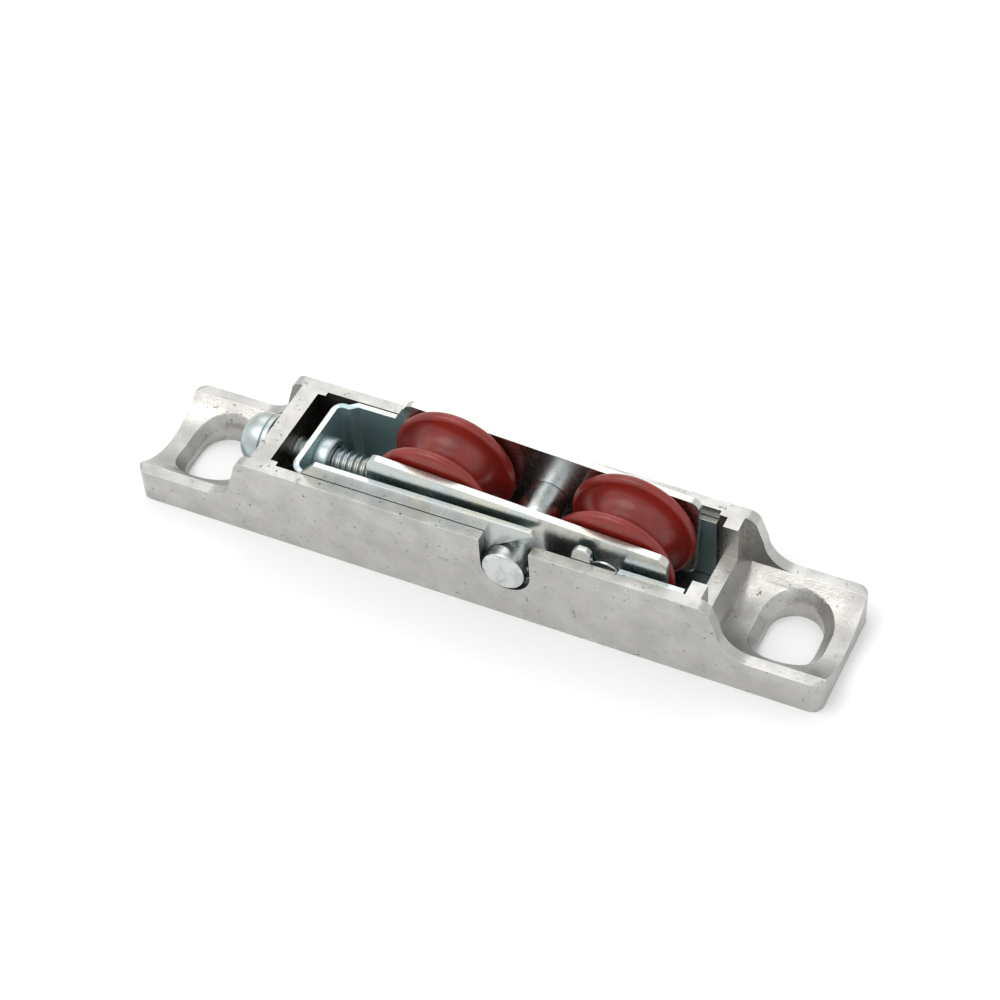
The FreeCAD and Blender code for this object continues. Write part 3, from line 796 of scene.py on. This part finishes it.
@dataclass
class WedgeSlider:
    """Pressed bracket with the two sloping slots, and the clinch nut in its end wall."""

    edge_radius: float = 0.16
    nut_bore: float = 2.55
    nut_spigot: float = 3.2
    nut_round: float = 0.7
    sheet: float = 1.0
    inner_half: float = 7.95
    inner_end: float = -30.35

    def build(self) -> None:
        """Round the pressing's edges, then turn its nut."""
        pressing = softened_copy(
            "wedge_slider", "pressed_slider", SLIDER_PLATE.material(), self.edge_radius
        )
        # Painted reflection: the inside faces of the bent sheet are marked for a teal tint.
        mark_inside(pressing, self.facing_in)
        settle(pressing, "slider", ["wedge_slider"])
        low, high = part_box("slider_nut")
        length = (high.x - low.x) / MM
        middle = Vector((low.x, (low.y + high.y) / 2, (low.z + high.z) / 2))
        barrel = (high.z - low.z) / MM / 2
        edge = barrel - self.nut_round
        profile = Profile(self.nut_bore, 0.0).line(self.nut_spigot, 0.0).line(self.nut_spigot, self.sheet)
        profile.line(barrel - 0.15, self.sheet).line(barrel, self.sheet + 0.15)
        profile.line(barrel, length - self.nut_round)
        profile.arc((edge, length - self.nut_round), 90.0)
        profile.line(self.nut_bore + 0.3, length).line(self.nut_bore, length - 0.3).close()
        nut = turned_piece(profile, along_x(middle), "clinch_nut", FASTENER_PLATE.material())
        settle(nut, "slider", ["slider_nut"])

    def facing_in(self, centre: Vector) -> float:
        """1 for the faces on the inside of the bent sheet, which get a painted teal reflection of the dark
        interior.

        Args:
            centre: the face's centre, in metres.

        Returns:
            0 or 1.
        """
        x, y, _ = centre / MM
        return float(abs(y) < self.inner_half and x > self.inner_end)


@dataclass
class AdjustingScrew:
    """Pan-head screw with a cross recess and a real helical thread, and its washer."""

    radius: float = 2.5
    core: float = 2.05
    pitch: float = 1.1
    crest: float = 0.14
    head_radius: float = 4.7
    head_rim: float = 1.5
    head_height: float = 4.4
    dome_flat: float = 1.4
    recess_reach: float = 2.6
    recess_width: float = 1.2
    recess_depth: float = 2.0
    plain_shank: float = 4.4
    thread_steps: int = 48

    def build(self) -> None:
        """Head, shank and thread as one piece, with the washer behind the head."""
        low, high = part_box("adjusting_screw")
        axis = Vector((0.0, (low.y + high.y) / 2, (low.z + high.z) / 2))
        start, tip = low.x / MM, high.x / MM
        washer_low, washer_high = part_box("screw_washer")
        thread_start = washer_high.x / MM + self.plain_shank
        work = self.head(start, thread_start)
        self.add_thread(work, thread_start, tip)
        bmesh.ops.transform(work, matrix=along_x(axis), verts=work.verts)
        screw = make_piece(work, "adjusting_screw_piece", FASTENER_PLATE.material(), 40.0)
        self.cut_recess(screw, low.x, axis)
        settle(screw, "screw", ["adjusting_screw"])

        thick = (washer_high.x - washer_low.x) / MM
        outer = (washer_high.z - washer_low.z) / MM / 2
        ease = 0.2
        profile = Profile(self.radius + 0.2, 0.0).line(outer - ease, 0.0)
        profile.arc((outer - ease, ease), 90.0, 4).line(outer, thick - ease)
        profile.arc((outer - ease, thick - ease), 90.0, 4).line(self.radius + 0.2, thick).close()
        place = along_x(Vector((washer_low.x, axis.y, axis.z)))
        washer = turned_piece(profile, place, "plain_washer", FASTENER_PLATE.material())
        settle(washer, "screw", ["screw_washer"])

    def head(self, start: float, shank_end: float) -> bmesh.types.BMesh:
        """The domed head and plain shank, turned.

        Args:
            start: place along X of the head's crown.
            shank_end: where the thread begins.

        Returns:
            A closed mesh about the Y axis.
        """
        seat = start + self.head_height
        shoulder = seat - self.head_rim
        run = self.head_radius - self.dome_flat
        rise = shoulder - start
        dome = (run * run + rise * rise) / (2 * rise)
        centre = (self.dome_flat, start + dome)
        sweep = math.degrees(math.asin(run / dome))
        profile = Profile(0.0, start).line(self.dome_flat, start).arc(centre, sweep, 16)
        profile.line(self.head_radius, seat - 0.3).arc((self.head_radius - 0.3, seat - 0.3), 90.0, 4)
        profile.line(self.radius - 0.05, seat).line(self.radius - 0.05, shank_end).line(0.0, shank_end)
        return profile.turn(self.thread_steps * 2)

    def add_thread(self, work: bmesh.types.BMesh, start: float, tip: float) -> None:
        """Sweep one pitch of the thread's outline round and along, then cut both ends square.

        Args:
            work: the mesh the thread is added to.
            start: place along the axis where the thread begins.
            tip: place along the axis where it ends.
        """
        thread = bmesh.new()
        offsets = (0.0, self.crest, self.pitch / 2, self.pitch / 2 + self.crest, self.pitch)
        radii = (self.core, self.core, self.radius, self.radius, self.core)
        first = start - 2 * self.pitch
        points = [thread.verts.new((r, first + o, 0.0)) for r, o in zip(radii, offsets)]
        for near_point, far_point in zip(points, points[1:]):
            thread.edges.new((near_point, far_point))
        turns = math.ceil((tip - first) / self.pitch) + 1
        bmesh.ops.spin(
            thread,
            geom=list(thread.verts) + list(thread.edges),
            cent=(0.0, 0.0, 0.0),
            axis=(0.0, 1.0, 0.0),
            dvec=(0.0, self.pitch / self.thread_steps, 0.0),
            angle=math.tau * turns,
            steps=self.thread_steps * turns,
            use_merge=False,
        )
        bmesh.ops.remove_doubles(thread, verts=thread.verts, dist=0.002)
        for place, direction in ((start - 0.2, -1.0), (tip, 1.0)):
            bmesh.ops.bisect_plane(
                thread,
                geom=list(thread.verts) + list(thread.edges) + list(thread.faces),
                plane_co=(0.0, place, 0.0),
                plane_no=(0.0, direction, 0.0),
                clear_outer=True,
            )
            rim = [edge for edge in thread.edges if edge.is_boundary and near_plane(edge, place)]
            bmesh.ops.edgeloop_fill(thread, edges=rim)
        bmesh.ops.recalc_face_normals(thread, faces=thread.faces)
        scratch = bpy.data.meshes.new("thread_scratch")
        thread.to_mesh(scratch)
        thread.free()
        work.from_mesh(scratch)
        bpy.data.meshes.remove(scratch)

    def cut_recess(self, screw: bpy.types.Object, crown: float, axis: Vector) -> None:
        """Cut the cross recess into the head.

        Args:
            screw: the screw, in place.
            crown: X of the head's crown, in metres.
            axis: a point on the screw's axis, in metres.
        """
        tool = bmesh.new()
        for turn in (0.0, math.pi / 2):
            blade = bmesh.ops.create_cube(tool, size=1.0)["verts"]
            size = (self.recess_depth * 2 * MM, self.recess_reach * 2 * MM, self.recess_width * MM)
            bmesh.ops.scale(tool, vec=size, verts=blade)
            bmesh.ops.rotate(tool, matrix=Matrix.Rotation(turn, 3, "X"), verts=blade)
            bmesh.ops.translate(tool, vec=(crown, axis.y, axis.z), verts=blade)
        mesh = bpy.data.meshes.new("recess_tool")
        tool.to_mesh(mesh)
        tool.free()
        cutter = bpy.data.objects.new("recess_tool", mesh)
        bpy.context.scene.collection.objects.link(cutter)
        cut = screw.modifiers.new("recess", "BOOLEAN")
        cut.object = cutter
        cut.operation = "DIFFERENCE"
        cut.solver = "EXACT"
        cut.use_self = True
        apply_modifiers(screw)
        bpy.data.objects.remove(cutter)
        bpy.data.meshes.remove(mesh)


def near_plane(edge: bmesh.types.BMEdge, place: float) -> bool:
    """True when both ends of an edge lie at that place along Y."""
    return all(abs(vert.co.y - place) < 1e-4 for vert in edge.verts)


def apply_modifiers(piece: bpy.types.Object) -> None:
    """Replace a piece's mesh by what its modifiers make of it.

    Args:
        piece: the object; its modifiers are cleared.
    """
    graph = bpy.context.evaluated_depsgraph_get()
    shaped = bpy.data.meshes.new_from_object(piece.evaluated_get(graph))
    old = piece.data
    piece.modifiers.clear()
    piece.data = shaped
    bpy.data.meshes.remove(old)


# ---------------------------------------------------------------- the bogie
@dataclass
class PivotPin:
    """Round pin across the housing, with eased ends."""

    ease: float = 0.45

    def build(self) -> None:
        """Turn the pin, with a shallow face at each end."""
        low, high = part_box("pivot_pin")
        centre = (low + high) / 2
        radius = (high.x - low.x) / MM / 2
        half = (high.y - low.y) / MM / 2
        finish = TurnedSteel("turned and plated pin steel", roughness=0.2, centre=tuple(centre))
        ease = self.ease
        profile = Profile(0.0, -half).line(radius - ease, -half)
        profile.arc((radius - ease, ease - half), 90.0, 5).line(radius, half - ease)
        profile.arc((radius - ease, half - ease), 90.0, 5).line(0.0, half)
        pin = turned_piece(profile, along_y(centre), "pivot_pin_piece", finish.material())
        settle(pin, "pin", ["pivot_pin"])


@dataclass
class BogiePlates:
    """The two side plates that carry the axles."""

    edge_radius: float = 0.22

    def build(self) -> None:
        """Round both plates' edges and plate them bright."""
        for side in Side:
            node = f"bogie_plate_{side.name.lower()}"
            plate = softened_copy(node, f"{node}_piece", BOGIE_PLATE.material(), self.edge_radius)
            settle(plate, "bogie", [node])


@dataclass
class Wheel:
    """One grooved wheel with its bearing, riveted axle and spacers."""

    end: End
    rim: float = 10.5
    half_width: float = 5.2
    root: float = 6.8
    flange: float = 1.9
    recess: float = 6.6
    lip_radius: float = 5.0
    lip: float = 0.6
    bearing_radius: float = 5.5
    bearing_half: float = 2.5
    outer_ring: float = 4.5
    inner_ring: float = 3.5
    bore: float = 2.5
    ball: float = 0.8
    ball_circle: float = 4.0
    ball_count: int = 9
    shield_bore: float = 3.6
    shield_far: float = 2.35
    shield_thick: float = 0.25
    axle: float = 2.48
    axle_end: float = 2.0
    plate_inner: float = 5.8
    plate_outer: float = 7.1
    rivet: float = 3.0
    rivet_height: float = 0.35
    spacer: float = 3.3
    race_gap: float = 0.02
    rest_rock: float = 3.3
    centre: Vector = field(init=False)

    def build(self) -> None:
        """Tyre first, then the bearing, then the axle and spacers."""
        name = self.end.value
        self.centre = joint_centre(f"wheel_{name}_spin")
        self.build_tyre(name)
        self.build_bearing(name)
        self.build_axle(name)

    def ring(self, inner: float, outer: float, start: float, stop: float, ease: float = 0.1) -> Profile:
        """The section of a plain ring with eased outer corners.

        Args:
            inner: bore radius.
            outer: outside radius.
            start: nearer face along the axis.
            stop: farther face along the axis.
            ease: corner rounding.

        Returns:
            The closed profile.
        """
        profile = Profile(inner, start).line(outer - ease, start)
        profile.arc((outer - ease, start + ease), 90.0, 3).line(outer, stop - ease)
        profile.arc((outer - ease, stop - ease), 90.0, 3).line(inner, stop)
        return profile.close()

    def build_tyre(self, name: str) -> None:
        """The moulded wheel: rounded flanges, round-bottomed groove, recessed hub.

        Args:
            name: the wheel's end.
        """
        nose = self.flange / 2
        hip = self.rim - nose
        crest = self.half_width - self.flange
        depth = hip - self.root
        groove = (crest * crest + depth * depth) / (2 * depth)
        centre = self.root + groove
        half_angle = math.degrees(math.atan2(crest, groove - depth))
        lip_face = self.bearing_half + self.lip
        profile = Profile(self.bearing_radius, -self.bearing_half).line(self.lip_radius, -self.bearing_half)
        profile.line(self.lip_radius, -lip_face).line(self.recess, -lip_face)
        profile.line(self.recess, -self.half_width + 0.3).line(self.recess + 0.3, -self.half_width)
        profile.line(hip, -self.half_width).arc((hip, -self.half_width + nose), 180.0, 16)
        profile.arc((centre, 0.0), -2 * half_angle, 28)
        profile.arc((hip, self.half_width - nose), 180.0, 16)
        profile.line(self.recess + 0.3, self.half_width).line(self.recess, self.half_width - 0.3)
        profile.line(self.recess, lip_face).line(self.lip_radius, lip_face)
        profile.line(self.lip_radius, self.bearing_half).line(self.bearing_radius, self.bearing_half)
        tyre = turned_piece(
            profile.close(), along_y(self.centre), f"grooved_wheel_{name}", RED_NYLON.material(), 128
        )
        settle(tyre, f"wheel_{name}", [f"wheel_tyre_{name}"])

    def build_bearing(self, name: str) -> None:
        """Rings, shields, balls and cage.

        Args:
            name: the wheel's end.
        """
        steel = RACE_STEEL.material()
        half, place = self.bearing_half, along_y(self.centre)
        track = self.ball + self.race_gap
        for label, wall, land, body in (
            ("outer", self.bearing_radius, self.outer_ring, f"wheel_{name}"),
            ("inner", self.bore, self.inner_ring, "bogie"),
        ):
            depth = abs(land - self.ball_circle)
            edge = math.sqrt(track * track - depth * depth)
            sweep = 2 * math.degrees(math.atan2(edge, depth))
            turn = sweep if land > self.ball_circle else -sweep
            profile = Profile(wall, -half).line(land, -half).line(land, -edge)
            profile.arc((self.ball_circle, 0.0), turn, 10).line(land, half).line(wall, half).close()
            ring = turned_piece(profile, place, f"bearing_{label}_{name}", steel, 72)
            settle(ring, body, [f"bearing_{label}_ring_{name}"])

        shields = bmesh.new()
        for side in Side:
            near_face = self.shield_far * side.value
            far_face = (self.shield_far - self.shield_thick) * side.value
            profile = self.ring(
                self.shield_bore, self.outer_ring, min(near_face, far_face), max(near_face, far_face), 0.03
            )
            join_into(shields, profile.turn(72), place)
        piece = make_piece(shields, f"bearing_shields_{name}_piece", steel)
        settle(piece, f"wheel_{name}", [f"bearing_shields_{name}"])

        balls = bmesh.new()
        for index in range(self.ball_count):
            angle = math.tau * index / self.ball_count
            ball = bmesh.ops.create_icosphere(balls, subdivisions=3, radius=self.ball)["verts"]
            spot = (self.ball_circle * math.cos(angle), 0.0, self.ball_circle * math.sin(angle))
            bmesh.ops.translate(balls, vec=spot, verts=ball)
        lean = Matrix.Rotation(math.radians(self.rest_rock), 3, "Y")
        bmesh.ops.rotate(balls, matrix=lean, verts=balls.verts)
        bmesh.ops.transform(balls, matrix=place, verts=balls.verts)
        piece = make_piece(balls, f"bearing_balls_{name}_piece", steel)
        settle(piece, f"cage_{name}", [f"bearing_balls_{name}"])
        cage = frame["nodes"][f"bearing_cage_{name}"]
        cage.data.materials.clear()
        cage.data.materials.append(CAGE_STEEL.material())

    def build_axle(self, name: str) -> None:
        """The riveted axle and the tube on each side of the bearing.

        Args:
            name: the wheel's end.
        """
        finish = TurnedSteel(f"turned axle steel, {name}", roughness=0.22, centre=tuple(self.centre))
        place = along_y(self.centre)
        crown = self.plate_outer + self.rivet_height
        edge = self.rivet - self.rivet_height
        profile = Profile(0.0, -crown).line(edge, -crown)
        profile.arc((edge, -self.plate_outer), 90.0, 4).line(self.axle_end, -self.plate_outer)
        profile.line(self.axle_end, -self.plate_inner).line(self.axle, -self.plate_inner)
        profile.line(self.axle, self.plate_inner).line(self.axle_end, self.plate_inner)
        profile.line(self.axle_end, self.plate_outer).line(self.rivet, self.plate_outer)
        profile.arc((edge, self.plate_outer), 90.0, 4).line(0.0, crown)
        axle = turned_piece(profile, place, f"riveted_axle_{name}", finish.material(), 64)
        settle(axle, "bogie", [f"axle_{name}"])
        for side in Side:
            ends = sorted((self.bearing_half * side.value, self.plate_inner * side.value))
            tube = self.ring(self.bore, self.spacer, ends[0], ends[1])
            word = side.name.lower()
            piece = turned_piece(tube, place, f"spacer_tube_{name}_{word}", FASTENER_PLATE.material(), 64)
            settle(piece, "bogie", [f"spacer_{name}_{word}"])


def join_into(target: bmesh.types.BMesh, part: bmesh.types.BMesh, place: Matrix) -> None:
    """Put a finished part into a bigger mesh.

    Args:
        target: the mesh that grows.
        part: the part, in millimetres; it is freed.
        place: where it goes.
    """
    bmesh.ops.transform(part, matrix=place, verts=part.verts)
    scratch = bpy.data.meshes.new("join_scratch")
    part.to_mesh(scratch)
    part.free()
    target.from_mesh(scratch)
    bpy.data.meshes.remove(scratch)


# ---------------------------------------------------------------- studio
@dataclass
class Studio:
    """Floor, soft lights and camera."""

    camera_place: tuple[float, float, float] = (0.14042, -0.25161, 0.31741)
    azimuth: float = 28.84
    elevation: float = 46.64
    roll: float = -4.67
    lens_mm: float = 95.56
    floor_half: float = 3.0

    def build(self) -> None:
        """Lay the floor, hang the lights and set up the camera."""
        self.build_floor()
        self.build_lights()
        self.build_camera()

    def build_floor(self) -> None:
        """A broad sheet of white paper at the mounting face."""
        work = bmesh.new()
        bmesh.ops.create_grid(work, x_segments=2, y_segments=2, size=self.floor_half)
        bmesh.ops.translate(work, vec=(0.0, 0.0, -0.00002), verts=work.verts)
        floor = make_piece(work, "studio_floor", FLOOR_PAPER.material())

    def build_lights(self) -> None:
        """A large overhead softbox, a side fill and an even pale surround."""
        for name, place, size, power, tone in (
            ("front overhead softbox", (-0.26, -0.24, 0.72), 0.55, 1.9, "#FFFDFA"),
            ("rear overhead softbox", (-0.22, 0.52, 0.62), 0.5, 0.9, "#FFFFFF"),
            ("front fill", (0.45, -0.55, 0.55), 0.5, 0.3, "#F6F9FF"),
            ("left strip", (-0.6, -0.1, 0.35), 0.35, 0.2, "#FFFFFF"),
        ):
            lamp = bpy.data.lights.new(name, "AREA")
            lamp.shape = "SQUARE"
            lamp.size = size
            lamp.energy = power
            lamp.color = linear(tone)[:3]
            holder = bpy.data.objects.new(name, lamp)
            holder.location = place
            holder.rotation_euler = (-Vector(place)).to_track_quat("-Z", "Y").to_euler()
            bpy.context.scene.collection.objects.link(holder)
        world = bpy.data.worlds.new("pale studio")
        world.use_nodes = True
        background = world.node_tree.nodes["Background"]
        background.inputs["Color"].default_value = linear("#F6F6F6")
        background.inputs["Strength"].default_value = 1.0
        bpy.context.scene.world = world
        bpy.context.scene.view_settings.view_transform = "Standard"

    def build_camera(self) -> None:
        """Look down on the roller from its right front."""
        azimuth, elevation, roll = (
            math.radians(angle) for angle in (self.azimuth, self.elevation, self.roll)
        )
        right = Vector((math.cos(azimuth), math.sin(azimuth), 0.0))
        ahead = Vector(
            (
                -math.sin(azimuth) * math.cos(elevation),
                math.cos(azimuth) * math.cos(elevation),
                -math.sin(elevation),
            )
        )
        up = right.cross(ahead)
        turned_right = right * math.cos(roll) + up * math.sin(roll)
        turned_up = up * math.cos(roll) - right * math.sin(roll)
        lens = bpy.data.cameras.new("studio camera")
        lens.lens = self.lens_mm
        lens.clip_start = 0.01
        camera = bpy.data.objects.new("studio camera", lens)
        basis = Matrix((turned_right, turned_up, -ahead)).transposed().to_4x4()
        camera.matrix_world = Matrix.Translation(Vector(self.camera_place)) @ basis
        bpy.context.scene.collection.objects.link(camera)
        bpy.context.scene.camera = camera


def main() -> None:
    """Build every sub-assembly in order."""
    logging.basicConfig(level=logging.INFO, format="%(name)s: %(message)s")
    for part in (
        Studio(),
        Housing(),
        WedgeSlider(),
        AdjustingScrew(),
        PivotPin(),
        BogiePlates(),
        Wheel(End.LEFT),
        Wheel(End.RIGHT),
    ):
        LOG.info("building %s", type(part).__name__)
        part.build()


if __name__ == "__main__":
    main()
